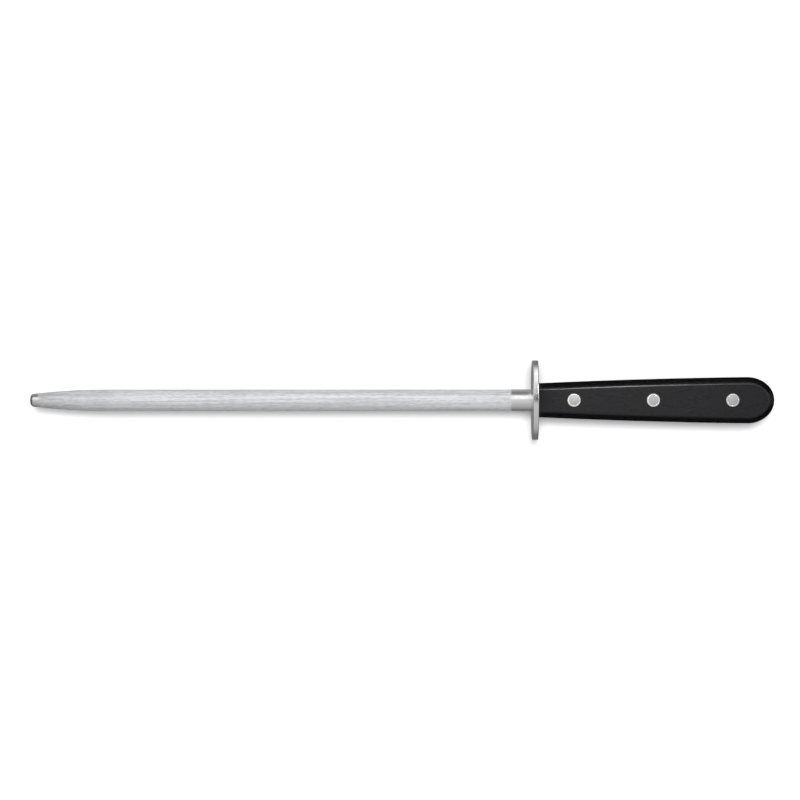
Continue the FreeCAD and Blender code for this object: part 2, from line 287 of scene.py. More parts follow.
def close_mesh(name, bm):
    """Merges doubles, turns the faces outward and returns the mesh as an object."""
    bmesh.ops.remove_doubles(bm, verts=bm.verts, dist=MERGE_DISTANCE)
    bmesh.ops.recalc_face_normals(bm, faces=bm.faces)
    mesh = bpy.data.meshes.new(name)
    bm.to_mesh(mesh)
    bm.free()
    return new_object(name, mesh)


def bake_modifiers(piece):
    """Makes the object's modifiers part of its mesh."""
    graph = bpy.context.evaluated_depsgraph_get()
    mesh = bpy.data.meshes.new_from_object(piece.evaluated_get(graph))
    mesh.name = piece.name
    old = piece.data
    piece.modifiers.clear()
    piece.data = mesh
    bpy.data.meshes.remove(old)


def cut(piece, cutters):
    """Cuts the closed cutter objects out of the piece, and removes them."""
    for cutter in cutters:
        step = piece.modifiers.new("cut " + cutter.name, "BOOLEAN")
        step.operation = "DIFFERENCE"
        step.solver = "EXACT"
        step.object = cutter
    bake_modifiers(piece)
    for cutter in cutters:
        bpy.data.objects.remove(cutter)


def dress(piece, material):
    """Shades curved faces smooth and flats flat, and gives the piece its material."""
    bm = bmesh.new()
    bm.from_mesh(piece.data)
    for face in bm.faces:
        face.smooth = True
    for edge in bm.edges:
        edge.smooth = len(edge.link_faces) == 2 and edge.calc_face_angle() < SHARP_ANGLE
    bm.to_mesh(piece.data)
    bm.free()
    normals = piece.modifiers.new("flats keep their normals", "WEIGHTED_NORMAL")
    normals.keep_sharp = True
    bake_modifiers(piece)
    piece.data.materials.clear()
    piece.data.materials.append(material)


def seat(piece, slot, *nodes):
    """Puts a finished piece on the frame in place of its CAD nodes."""
    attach(piece, BODY)
    if nodes:
        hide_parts(*nodes)


# ---------------------------------------------------------------- node helpers


def add_node(tree, kind, values=None, **settings):
    """Adds a node, gives it its settings, and fills or links its inputs, each named or numbered."""
    node = tree.nodes.new(kind)
    for name, value in settings.items():
        setattr(node, name, value)
    for key, value in (values or {}).items():
        if isinstance(value, bpy.types.NodeSocket):
            tree.links.new(value, node.inputs[key])
        else:
            node.inputs[key].default_value = value
    return node


def new_material(name):
    """A material that holds only its shader and its output; returns the material, tree and shader."""
    material = bpy.data.materials.new(name)
    material.use_nodes = True
    tree = material.node_tree
    tree.nodes.clear()
    shader = add_node(tree, "ShaderNodeBsdfPrincipled")
    add_node(tree, "ShaderNodeOutputMaterial", {"Surface": shader.outputs["BSDF"]})
    return material, tree, shader


def grain(tree, size, detail=2.0, offset=0.0):
    """Noise from 0 to 1 whose marks have the given size in millimetres along X, Y and Z."""
    place = add_node(tree, "ShaderNodeTexCoord").outputs["Object"]
    scale = [1.0 / (millimetres * MM) for millimetres in size]
    spread = add_node(tree, "ShaderNodeMapping", {"Vector": place, "Scale": scale, "Location": (offset,) * 3})
    noise = add_node(
        tree, "ShaderNodeTexNoise",
        {"Vector": spread.outputs["Vector"], "Scale": 1.0, "Detail": detail, "Roughness": 0.6},
    )
    return noise.outputs["Fac"]


def turning_marks(tree, pitch, run):
    """Noise in rings round the X axis, as a lathe leaves it: pitch between marks, run along them."""
    place = add_node(tree, "ShaderNodeTexCoord").outputs["Object"]
    axes = add_node(tree, "ShaderNodeSeparateXYZ", {"Vector": place})
    flat = add_node(tree, "ShaderNodeCombineXYZ", {"Y": axes.outputs["Y"], "Z": axes.outputs["Z"]})
    reach = add_node(tree, "ShaderNodeVectorMath", {0: flat.outputs["Vector"]}, operation="LENGTH")
    values = {0: axes.outputs["X"], 1: reach.outputs["Value"]}
    across = add_node(tree, "ShaderNodeMath", values, operation="ADD")
    rings = add_node(
        tree, "ShaderNodeMath", {0: across.outputs[0], 1: 1.0 / (pitch * MM)}, operation="MULTIPLY"
    )
    values = {0: flat.outputs["Vector"], "Scale": 1.0 / (run * MM)}
    turn = add_node(tree, "ShaderNodeVectorMath", values, operation="SCALE")
    noise = add_node(
        tree, "ShaderNodeTexNoise",
        {"Vector": turn.outputs["Vector"], "W": rings.outputs[0], "Scale": 1.0, "Detail": 2.0},
        noise_dimensions="4D",
    )
    return noise.outputs["Fac"]


def between(tree, factor, low, high, spread=(0.3, 0.7)):
    """Turns a noise value into a number from low to high."""
    values = {"Value": factor, "From Min": spread[0], "From Max": spread[1], "To Min": low, "To Max": high}
    return add_node(tree, "ShaderNodeMapRange", values).outputs["Result"]


def blend_colours(tree, factor, low, high):
    """Mixes two linear colours by a factor socket."""
    values = {0: factor, 6: (*low, 1.0), 7: (*high, 1.0)}
    return add_node(tree, "ShaderNodeMix", values, data_type="RGBA").outputs[2]


# ---------------------------------------------------------------- materials


def hard_chromed_ridges(finishes):
    """Drawn and hard-chromed carbon steel: bright satin crests, with long dull streaks along the rod."""
    material, tree, shader = new_material("hard chromed ridged steel")
    long_streaks = grain(tree, (60.0, 1.1, 1.1), detail=3.0)
    short_streaks = grain(tree, (3.2, 0.5, 0.5), detail=3.0, offset=7.0)
    both = add_node(tree, "ShaderNodeMath", {0: long_streaks, 1: short_streaks}, operation="ADD").outputs[0]
    shade = between(tree, both, 0.0, 1.0, spread=(0.8, 1.15))
    colours = blend_colours(tree, shade, finishes.chrome_dark, finishes.chrome)
    tree.links.new(colours, shader.inputs["Base Color"])
    tree.links.new(between(tree, short_streaks, 0.42, 0.32), shader.inputs["Roughness"])
    shader.inputs["Metallic"].default_value = 1.0
    return material


def polished_steel(finishes):
    """Stainless steel polished on a wheel: clear bands of light with faint marks round the rod."""
    material, tree, shader = new_material("polished steel")
    marks = turning_marks(tree, 0.35, 12.0)
    tree.links.new(between(tree, marks, 0.16, 0.10), shader.inputs["Roughness"])
    darker = [c * MARK_SHADE for c in finishes.polished]
    tree.links.new(blend_colours(tree, marks, darker, finishes.polished), shader.inputs["Base Color"])
    shader.inputs["Metallic"].default_value = 1.0
    return material


def turned_steel(finishes):
    """Stainless steel turned on a lathe: fine rings round the rod's axis that soften the light."""
    material, tree, shader = new_material("turned stainless steel")
    marks = turning_marks(tree, 0.4, 9.0)
    tree.links.new(between(tree, marks, 0.20, 0.14), shader.inputs["Roughness"])
    darker = [c * MARK_SHADE for c in finishes.turned]
    tree.links.new(blend_colours(tree, marks, darker, finishes.turned), shader.inputs["Base Color"])
    bump = add_node(tree, "ShaderNodeBump", {"Height": marks, "Strength": 0.15, "Distance": 0.02 * MM})
    tree.links.new(bump.outputs["Normal"], shader.inputs["Normal"])
    shader.inputs["Metallic"].default_value = 1.0
    return material


def ground_steel(finishes):
    """Carbon steel ground flush on a belt: straight lines along the handle's edge."""
    material, tree, shader = new_material("ground tang steel")
    lines = grain(tree, (22.0, 0.5, 0.16), detail=3.0)
    tree.links.new(between(tree, lines, 0.42, 0.28), shader.inputs["Roughness"])
    darker = [c * 0.72 for c in finishes.turned]
    tree.links.new(blend_colours(tree, lines, darker, finishes.turned), shader.inputs["Base Color"])
    bump = add_node(tree, "ShaderNodeBump", {"Height": lines, "Strength": 0.2, "Distance": 0.03 * MM})
    tree.links.new(bump.outputs["Normal"], shader.inputs["Normal"])
    shader.inputs["Metallic"].default_value = 1.0
    return material


def black_acetal(finishes):
    """Black acetal (POM), milled and buffed: deep black with a satin sheen and the faintest hair lines."""
    material, tree, shader = new_material("buffed black acetal")
    hair_lines = grain(tree, (16.0, 0.3, 0.3), detail=3.0)
    cloud = grain(tree, (9.0, 5.0, 5.0), detail=2.0, offset=3.0)
    mixed = add_node(tree, "ShaderNodeMath", {0: hair_lines, 1: cloud}, operation="MULTIPLY").outputs[0]
    tree.links.new(between(tree, mixed, 0.30, 0.25, spread=(0.15, 0.4)), shader.inputs["Roughness"])
    paler = [c * 1.25 for c in finishes.acetal]
    tree.links.new(blend_colours(tree, cloud, finishes.acetal, paler), shader.inputs["Base Color"])
    bump = add_node(tree, "ShaderNodeBump", {"Height": hair_lines, "Strength": 0.03, "Distance": 0.01 * MM})
    tree.links.new(bump.outputs["Normal"], shader.inputs["Normal"])
    shader.inputs["IOR"].default_value = 1.48
    shader.inputs["Specular IOR Level"].default_value = 0.36
    return material


def rivet_alloy(finishes):
    """Nickel silver ground flush with the scales: a matt grey head and a smoother, buffed ring whose paler
    colour is a painted highlight along the head's sloped edge.
    """
    material, tree, shader = new_material("ground nickel silver")
    speckle = grain(tree, (0.5, 0.5, 0.5), detail=3.0)
    ring = add_node(tree, "ShaderNodeAttribute", attribute_name=RING).outputs["Fac"]
    matt = between(tree, speckle, 0.42, 0.30)
    rough = add_node(tree, "ShaderNodeMix", {0: ring, 2: matt, 3: 0.24}, data_type="FLOAT").outputs[0]
    tree.links.new(rough, shader.inputs["Roughness"])
    darker = [c * 0.86 for c in finishes.rivet]
    middle = blend_colours(tree, speckle, darker, finishes.rivet)
    # Paler colour on the ring: a painted highlight along the head's edge.
    values = {0: ring, 6: middle, 7: (*finishes.rivet_ring_highlight, 1.0)}
    colours = add_node(tree, "ShaderNodeMix", values, data_type="RGBA").outputs[2]
    tree.links.new(colours, shader.inputs["Base Color"])
    shader.inputs["Metallic"].default_value = 1.0
    return material


# ---------------------------------------------------------------- geometry nodes


def new_tree(name, inputs):
    """A geometry node tree with named inputs; returns the tree, its inputs' sockets and its output node."""
    tree = bpy.data.node_groups.new(name, "GeometryNodeTree")
    for label, kind in inputs.items():
        tree.interface.new_socket(label, in_out="INPUT", socket_type=kind)
    tree.interface.new_socket("Geometry", in_out="OUTPUT", socket_type="NodeSocketGeometry")
    sockets = tree.nodes.new("NodeGroupInput").outputs
    return tree, sockets, tree.nodes.new("NodeGroupOutput")


def end_tree(tree, geometry, material, output):
    """Ends a tree: smooth faces, real instances and a material."""
    smooth = add_node(tree, "GeometryNodeSetShadeSmooth", {"Geometry": geometry})
    real = add_node(tree, "GeometryNodeRealizeInstances", {"Geometry": smooth.outputs["Geometry"]})
    coated = add_node(
        tree, "GeometryNodeSetMaterial", {"Geometry": real.outputs["Geometry"], "Material": material}
    )
    tree.links.new(coated.outputs["Geometry"], output.inputs["Geometry"])


def grow(name, tree, values):
    """Runs a tree with the given inputs, and returns the result as an object with a plain mesh."""
    piece = new_object(name, bpy.data.meshes.new(name))
    modifier = piece.modifiers.new(name, "NODES")
    modifier.node_group = tree
    identifiers = {item.name: item.identifier for item in tree.interface.items_tree if item.in_out == "INPUT"}
    for label, value in values.items():
        modifier[identifiers[label]] = value
    bake_modifiers(piece)
    return piece


def ridge_tree():
    """A rod along X: a ridged section drawn along a line, narrowed towards -X by an ogive curve."""
    tree, given, output = new_tree("ridged rod", {
        "Start": "NodeSocketFloat", "End": "NodeSocketFloat", "Radius": "NodeSocketFloat",
        "Ogive Start": "NodeSocketFloat", "Ogive Radius": "NodeSocketFloat", "Ridges": "NodeSocketInt",
        "Ridge Depth": "NodeSocketFloat", "Rings": "NodeSocketInt", "Wander": "NodeSocketFloat",
        "Unevenness": "NodeSocketFloat", "Seed": "NodeSocketFloat", "Material": "NodeSocketMaterial",
    })

    def math_node(operation, *values):
        return add_node(tree, "ShaderNodeMath", dict(enumerate(values)), operation=operation).outputs[0]

    first = add_node(tree, "ShaderNodeCombineXYZ", {"X": given["Start"]}).outputs["Vector"]
    last = add_node(tree, "ShaderNodeCombineXYZ", {"X": given["End"]}).outputs["Vector"]
    line = add_node(tree, "GeometryNodeCurvePrimitiveLine", {"Start": first, "End": last})
    rings = add_node(
        tree, "GeometryNodeResampleCurve", {"Curve": line.outputs["Curve"], "Count": given["Rings"]}
    )
    position = add_node(tree, "GeometryNodeInputPosition").outputs["Position"]
    x = add_node(tree, "ShaderNodeSeparateXYZ", {"Vector": position}).outputs["X"]

    wave_place = add_node(
        tree, "ShaderNodeVectorMath", {0: position, "Scale": 1.0 / WANDER_WAVE}, operation="SCALE"
    )
    wave = add_node(
        tree, "ShaderNodeTexNoise",
        {"Vector": wave_place.outputs["Vector"], "W": given["Seed"], "Scale": 1.0, "Detail": 1.0},
        noise_dimensions="4D",
    )
    swing = math_node("SUBTRACT", wave.outputs["Fac"], 0.5)
    tilt = math_node("MULTIPLY", swing, given["Wander"])
    tilted = add_node(tree, "GeometryNodeSetCurveTilt", {"Curve": rings.outputs["Curve"], "Tilt": tilt})

    reach = math_node("MAXIMUM", math_node("SUBTRACT", given["Ogive Start"], x), 0.0)
    squares = math_node(
        "SUBTRACT", math_node("POWER", given["Ogive Radius"], 2.0), math_node("POWER", reach, 2.0)
    )
    drop = math_node("SUBTRACT", given["Ogive Radius"], math_node("SQRT", squares))
    radius = math_node("SUBTRACT", given["Radius"], drop)

    points = math_node("MULTIPLY", given["Ridges"], 4.0)
    circle = add_node(tree, "GeometryNodeCurvePrimitiveCircle", {"Resolution": points, "Radius": 1.0})
    index = add_node(tree, "GeometryNodeInputIndex").outputs["Index"]
    crest = math_node("COSINE", math_node("MULTIPLY", index, TURN / 4.0))
    depth = math_node("DIVIDE", given["Ridge Depth"], math_node("MULTIPLY", given["Radius"], 2.0))
    height = math_node("SUBTRACT", 1.0, math_node("MULTIPLY", depth, math_node("SUBTRACT", 1.0, crest)))
    shaped = add_node(tree, "ShaderNodeVectorMath", {0: position, "Scale": height}, operation="SCALE")
    section = add_node(
        tree, "GeometryNodeSetPosition",
        {"Geometry": circle.outputs["Curve"], "Position": shaped.outputs["Vector"]},
    )
    drawn = add_node(
        tree, "GeometryNodeCurveToMesh",
        {"Curve": tilted.outputs["Curve"], "Profile Curve": section.outputs["Geometry"],
         "Scale": radius, "Fill Caps": True},
    )

    stretch = add_node(
        tree, "ShaderNodeVectorMath",
        {0: position, 1: (1.0 / PATCH_LENGTH, 1.0 / PATCH_WIDTH, 1.0 / PATCH_WIDTH)}, operation="MULTIPLY",
    )
    patches = add_node(
        tree, "ShaderNodeTexNoise",
        {"Vector": stretch.outputs["Vector"], "W": given["Seed"], "Scale": 1.0, "Detail": 1.0},
        noise_dimensions="4D",
    )
    sink = math_node("MULTIPLY", patches.outputs["Fac"], given["Unevenness"])
    outward = add_node(tree, "ShaderNodeVectorMath", {0: position, 1: (0.0, 1.0, 1.0)}, operation="MULTIPLY")
    unit = add_node(tree, "ShaderNodeVectorMath", {0: outward.outputs["Vector"]}, operation="NORMALIZE")
    inward = math_node("MULTIPLY", sink, -1.0)
    worn = add_node(
        tree, "ShaderNodeVectorMath", {0: unit.outputs["Vector"], "Scale": inward}, operation="SCALE"
    )
    uneven = add_node(
        tree, "GeometryNodeSetPosition",
        {"Geometry": drawn.outputs["Mesh"], "Offset": worn.outputs["Vector"]},
    )
    end_tree(tree, uneven.outputs["Geometry"], given["Material"], output)
    return tree


def row_tree():
    """A straight row of copies of one object, evenly spaced along X."""
    tree, given, output = new_tree("rivet row", {
        "Rivet": "NodeSocketObject", "Count": "NodeSocketInt", "Pitch": "NodeSocketFloat",
        "Material": "NodeSocketMaterial",
    })
    step = add_node(tree, "ShaderNodeCombineXYZ", {"X": given["Pitch"]})
    places = add_node(
        tree, "GeometryNodeMeshLine", {"Count": given["Count"], "Offset": step.outputs["Vector"]}
    )
    rivet = add_node(tree, "GeometryNodeObjectInfo", {"Object": given["Rivet"], "As Instance": True})
    copies = add_node(
        tree, "GeometryNodeInstanceOnPoints",
        {"Points": places.outputs["Mesh"], "Instance": rivet.outputs["Geometry"]},
    )
    end_tree(tree, copies.outputs["Instances"], given["Material"], output)
    return tree


# ---------------------------------------------------------------- pieces


def rod_radius_at(rod, x):
    """Radius of the rod's outside at x, by the same ogive curve as the ridges."""
    reach = max(0.0, ROD_LOW.x + rod.ogive_length - x)
    return rod.radius - (rod.ogive_radius - math.sqrt(rod.ogive_radius ** 2 - reach ** 2))


def make_tip(settings):
    """The polished end of the rod, in front of the ridges."""
    rod = settings.rod
    back = ROD_LOW.x + rod.tip_length
    front_radius = rod_radius_at(rod, ROD_LOW.x)
    middle = (ROD_LOW.x + back) / 2.0
    profile = rounded(
        [(ROD_LOW.x, 0.0), (ROD_LOW.x, front_radius), (middle, rod_radius_at(rod, middle))],
        [rod.tip_rounding],
    )
    profile += [Vector((back, rod_radius_at(rod, back))), Vector((back, 0.0))]
    bm = bmesh.new()
    lathe(bm, profile, along_x)
    piece = close_mesh("polished_tip", bm)
    dress(piece, polished_steel(settings.finishes))
    seat(piece, "rod_steel", "sharpening_rod")


def make_ridged_rod(settings):
    """The long ridged part of the rod."""
    rod = settings.rod
    piece = grow("ridged_rod", ridge_tree(), {
        "Start": ROD_LOW.x + rod.tip_length,
        "End": -rod.neck_length,
        "Radius": rod.radius,
        "Ogive Start": ROD_LOW.x + rod.ogive_length,
        "Ogive Radius": rod.ogive_radius,
        "Ridges": rod.ridge_count,
        "Ridge Depth": rod.ridge_depth,
        "Rings": rod.ring_count,
        "Wander": rod.wander,
        "Unevenness": RIDGE_UNEVENNESS,
        "Seed": rod.seed,
        "Material": hard_chromed_ridges(settings.finishes),
    })
    seat(piece, "rod_steel", "sharpening_rod")


def tang_cutter(half_width):
    """The slot across the rod's root that the tang is welded in."""
    low = Vector((TANG_LOW.x, -half_width - MM, TANG_LOW.z))
    high = Vector((ROD_HIGH.x + MM, half_width + MM, TANG_HIGH.z))
    bm = bmesh.new()
    bmesh.ops.create_cube(bm, size=1.0)
    for v in bm.verts:
        v.co = (low + high) / 2.0 + Vector(a * b for a, b in zip(v.co, high - low))
    return close_mesh("tang_slot", bm)


def make_neck(settings):
    """The polished neck, its seat in the guard and the slotted root that holds the tang."""
    rod = settings.rod
    seat_radius = settings.guard.bore_radius
    profile = [
        (-rod.neck_length, 0.0), (-rod.neck_length, rod.radius), (0.0, rod.radius), (0.0, seat_radius),
        (ROD_HIGH.x - ROOT_TAPER, seat_radius), (ROD_HIGH.x, seat_radius / 2.0), (ROD_HIGH.x, 0.0),
    ]
    bm = bmesh.new()
    lathe(bm, profile, along_x)
    piece = close_mesh("polished_neck", bm)
    cut(piece, [tang_cutter(seat_radius)])
    dress(piece, polished_steel(settings.finishes))
    seat(piece, "rod_steel", "sharpening_rod")


def make_guard(settings):
    """The round finger guard."""
    guard = settings.guard
    outer = GUARD_HIGH.y
    profile = rounded(
        [(GUARD_LOW.x, guard.bore_radius), (GUARD_LOW.x, outer), (GUARD_HIGH.x, outer),
         (GUARD_HIGH.x, guard.bore_radius)],
        [guard.rounding, guard.rounding],
    )
    bm = bmesh.new()
    lathe(bm, profile, along_x, segments=256, closed=True)
    piece = close_mesh("guard_disc", bm)
    dress(piece, turned_steel(settings.finishes))
    seat(piece, "guard_steel", "finger_guard")


def handle_outline(handle):
    """Half of the handle's outline from the guard to the butt: (x, y, outward x, outward y) points."""
    front = Vector((TANG_LOW.x, handle.front_half_width))
    widest = Vector((TANG_HIGH.x - handle.butt_setback, TANG_HIGH.y))
    end = Vector((TANG_HIGH.x - handle.butt_radius, 0.0))
    chord = widest - front
    half_sweep = math.asin(chord.length / 2.0 / handle.side_radius)
    up = math.atan2(chord.y, chord.x) + math.pi / 2.0
    normal = Vector((math.cos(up - half_sweep), math.sin(up - half_sweep)))
    side_centre = widest - normal * handle.side_radius
    reach = widest - end
    corner_radius = (reach.length_squared - handle.butt_radius ** 2) / 2.0
    corner_radius /= reach.dot(normal) - handle.butt_radius
    corner_centre = widest - normal * corner_radius
    meet = math.atan2(-corner_centre.y, end.x - corner_centre.x)
    arcs = [
        (side_centre, handle.side_radius, up + half_sweep, up - half_sweep, 24),
        (corner_centre, corner_radius, up - half_sweep, meet, 14),
        (end, handle.butt_radius, meet, 0.0, 18),
    ]
    points = []
    for centre, radius, start, stop, steps in arcs:
        for step in range(1 if points else 0, steps + 1):
            angle = start + (stop - start) * step / steps
            outward = Vector((math.cos(angle), math.sin(angle)))
            points.append((*(centre + outward * radius), *outward))
    return points


def make_scale(settings, name, side, node):
    """One handle scale: side is 1 above the tang and -1 below it."""
    handle = settings.handle
    half = handle_outline(handle)
    loop = half + [(x, -y, nx, -ny) for x, y, nx, ny in reversed(half[:-1])]
    inner, outer = SCALE_LOW.z, SCALE_HIGH.z
    profile = rounded(
        [(handle.seam_ease, inner), (0.0, inner + handle.seam_ease), (0.0, outer - handle.bevel_depth),
         (handle.bevel_width, outer), (2.0 * handle.bevel_width, outer)],
        [0.0, handle.side_rounding, handle.face_rounding],
        steps=12,
    )[:-1]
    bm = bmesh.new()
    rows = []
    for inset, z in profile:
        row = []
        for x, y, nx, ny in loop:
            row.append(bm.verts.new((max(x - nx * inset, TANG_LOW.x), y - ny * inset, z * side)))
        row[0].co.x = row[-1].co.x = TANG_LOW.x
        rows.append(row)
    for one, two in zip(rows, rows[1:]):
        for i in range(len(loop) - 1):
            bm.faces.new((one[i], one[i + 1], two[i + 1], two[i]))
    bm.faces.new(rows[0])
    bm.faces.new(rows[-1])
    bm.faces.new([row[0] for row in rows] + [row[-1] for row in reversed(rows)])
    piece = close_mesh(name, bm)
    holes = [hole_cutter(settings, i, side) for i in range(settings.rivets.count)]
    cut(piece, holes + [root_cutter(settings)])
    dress(piece, black_acetal(settings.finishes))
    seat(piece, "handle_plastic", node)


def hole_cutter(settings, index, side):
    """The stepped hole for one rivet."""
    rivets = settings.rivets
    x = (PIN_LOW.x + PIN_HIGH.x) / 2.0 + index * (PIN_NEXT.x - PIN_LOW.x)
    head = (PIN_HIGH.x - PIN_LOW.x) / 2.0 + HOLE_CLEARANCE
    floor = PIN_HIGH.z - rivets.head_depth
    tube = rivets.tube_radius
    top = 2.0 * PIN_HIGH.z
    profile = [(0.0, 0.0), (0.0, tube), (floor, tube), (floor, head), (top, head), (top, 0.0)]
    bm = bmesh.new()
    lathe(bm, [(z * side, radius) for z, radius in profile], along_z(x), segments=96)
    return close_mesh(f"hole_{index}", bm)


def root_cutter(settings):
    """The round pocket at the front, which the rod's root fills."""
    handle = settings.handle
    start = TANG_LOW.x - MM
    stop = TANG_LOW.x + handle.root_length
    profile = [(start, 0.0), (start, handle.root_radius), (stop, handle.root_radius), (stop, 0.0)]
    bm = bmesh.new()
    lathe(bm, profile, along_x, segments=64)
    return close_mesh("root_pocket", bm)


def rivet_template(settings, name, profile):
    """One rivet part turned round its upright axis at the first rivet's place."""
    bm = bmesh.new()
    lathe(bm, profile, along_z((PIN_LOW.x + PIN_HIGH.x) / 2.0), segments=72)
    # Marks the sloped ring at the head's edge, where the material paints a highlight and lowers the
    # roughness.
    ring = bm.faces.layers.float.new(RING)
    for face in bm.faces:
        heights = [abs(v.co.z) for v in face.verts]
        above_edge = min(heights) > abs(profile[2][0]) - MERGE_DISTANCE
        face[ring] = float(above_edge and max(heights) > min(heights) + MERGE_DISTANCE)
    piece = close_mesh(name, bm)
    dress(piece, None)
    return piece


def make_rivet_row(settings, name, template, nodes, material):
    """Repeats a rivet part along the handle, and removes the part it was copied from."""
    piece = grow(name, row_tree(), {
        "Rivet": template,
        "Count": settings.rivets.count,
        "Pitch": PIN_NEXT.x - PIN_LOW.x,
        "Material": material,
    })
    bpy.data.objects.remove(template)
    seat(piece, "rivet_metal", *nodes)


def head_profile(settings, top, neck_radius):
    """A rivet head's outside, from the middle of its face to its neck."""
    rivets = settings.rivets
    radius = (PIN_HIGH.x - PIN_LOW.x) / 2.0
    sign = math.copysign(1.0, top)
    under = top - sign * rivets.head_depth
    return [
        (top, 0.0), (top, radius - rivets.rim_width), (top - sign * rivets.rim_drop, radius),
        (under, radius), (under, neck_radius),
    ]


def make_rivets(settings):
    """The posts above and the sockets below."""
    rivets = settings.rivets
    material = rivet_alloy(settings.finishes)
    post = head_profile(settings, PIN_HIGH.z, rivets.pin_radius)
    post += [(PIN_LOW.z, rivets.pin_radius), (PIN_LOW.z, 0.0)]
    socket = head_profile(settings, TUBE_LOW.z, rivets.tube_radius)
    socket += [
        (TUBE_HIGH.z, rivets.tube_radius), (TUBE_HIGH.z, rivets.pin_radius),
        (PIN_LOW.z - MM, rivets.pin_radius), (PIN_LOW.z - MM, 0.0),
    ]
    places = ("front", "middle", "rear")
    rows = (("rivet_posts", post, "rivet_post_"), ("rivet_sockets", socket, "rivet_socket_"))
    for name, profile, kind in rows:
        template = rivet_template(settings, name + "_template", profile)
        make_rivet_row(settings, name, template, [kind + place for place in places], material)


def finish_tang(settings):
    """The tang keeps its CAD shape and gets its ground steel."""
    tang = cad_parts["full_tang"]
    tang.data.materials.clear()
    tang.data.materials.append(ground_steel(settings.finishes))


# ---------------------------------------------------------------- stage


# Brightness of the world's bands by their angle from overhead, in degrees, + towards +Y.
WORLD_BANDS = [
    (-180, 0.24), (-150, 0.24), (-120, 0.24), (-100, 0.42), (-75, 0.56), (-40, 0.72), (-10, 0.92),
    (3, 0.95), (12, 1.30), (18, 1.50), (46, 1.40), (54, 0.88), (64, 0.50), (76, 0.32), (86, 0.26),
    (102, 0.42), (120, 0.55), (140, 0.50), (165, 0.26), (180, 0.24),
]

# How the bands fade towards -X, by the share of the direction that points that way.
TIPWARD_FADE = [(0.0, 1.0), (0.1, 1.0), (0.3, 0.9), (0.6, 0.75), (0.75, 0.6), (0.88, 0.3), (1.0, 0.1)]

# The ramp holds the bands at this share of their brightness, so that no stop of it passes 1.
BAND_SCALE = 0.5
BACKDROP_STRENGTH = 1.05

# The light of each card. The handle's three: stops of (metres along X, radiance).
TROUGH_GLOW = [(0.0, 0.0), (1.0, 0.0001)]
STRIP_GLOW = [(0.0, 8.0), (0.025, 18.0), (0.045, 47.0), (0.065, 18.5), (0.09, 7.5), (0.13, 3.5), (0.22, 0.0)]
GREY_GLOW = [(0.0, 0.83), (0.1, 0.70), (0.16, 0.51), (0.3, 0.41)]

# The hoops' and the neck's: stops of (degrees from overhead, + towards +Y, radiance).
ROD_GLOW = [
    (-134, 0.50), (-77, 0.58), (-51, 0.80), (-24, 1.00), (0, 1.03), (12, 1.22), (40, 1.20), (48, 0.96),
    (134, 0.96),
]
NECK_GLOW = [(13, 1.30), (15, 1.50), (36, 1.40)]
GUARD_GLOW = [
    (-96, 0.26), (-81, 0.48), (-67, 0.66), (-46, 0.76), (-24, 0.80), (-9, 0.86), (-4, 0.62), (3, 0.10),
    (9, 0.30), (16, 0.66), (23, 0.82), (33, 1.05), (48, 1.60), (68, 1.80), (82, 1.15), (94, 0.50),
    (101, 0.28), (140, 0.24),
]

# The rod's hoops, one behind the other: where each starts and stops along X, and its share of that light.
ROD_HOOPS = [
    (-0.2580, -0.2475, 0.78), (-0.2475, -0.2360, 0.84), (-0.2360, -0.2200, 0.91), (-0.2200, -0.0106, 1.00),
]

# Where each card stands: distance from the rod's axis, ends along X, angles from overhead in degrees.
HOOP_REACH = 0.012
TROUGH_PLACE = (0.028, (0.004, 0.16), (98.0, 262.0))
STRIP_PLACE = (0.19, (0.012, 0.25), (26.0, 42.0))
GREY_PLACE = (0.25, (0.012, 0.30), (-13.0, 13.0))
NECK_PLACE = (HOOP_REACH, (ROD_HOOPS[-1][1], -0.0075), (13.0, 36.0))
GUARD_PLACE = (0.045, (0.0006, 0.009), (-96.0, 140.0))

FLOOR_HALF_WIDTH = 4.0
# How far the camera stands off the rod's axis.
CAMERA_Y = 0.0001


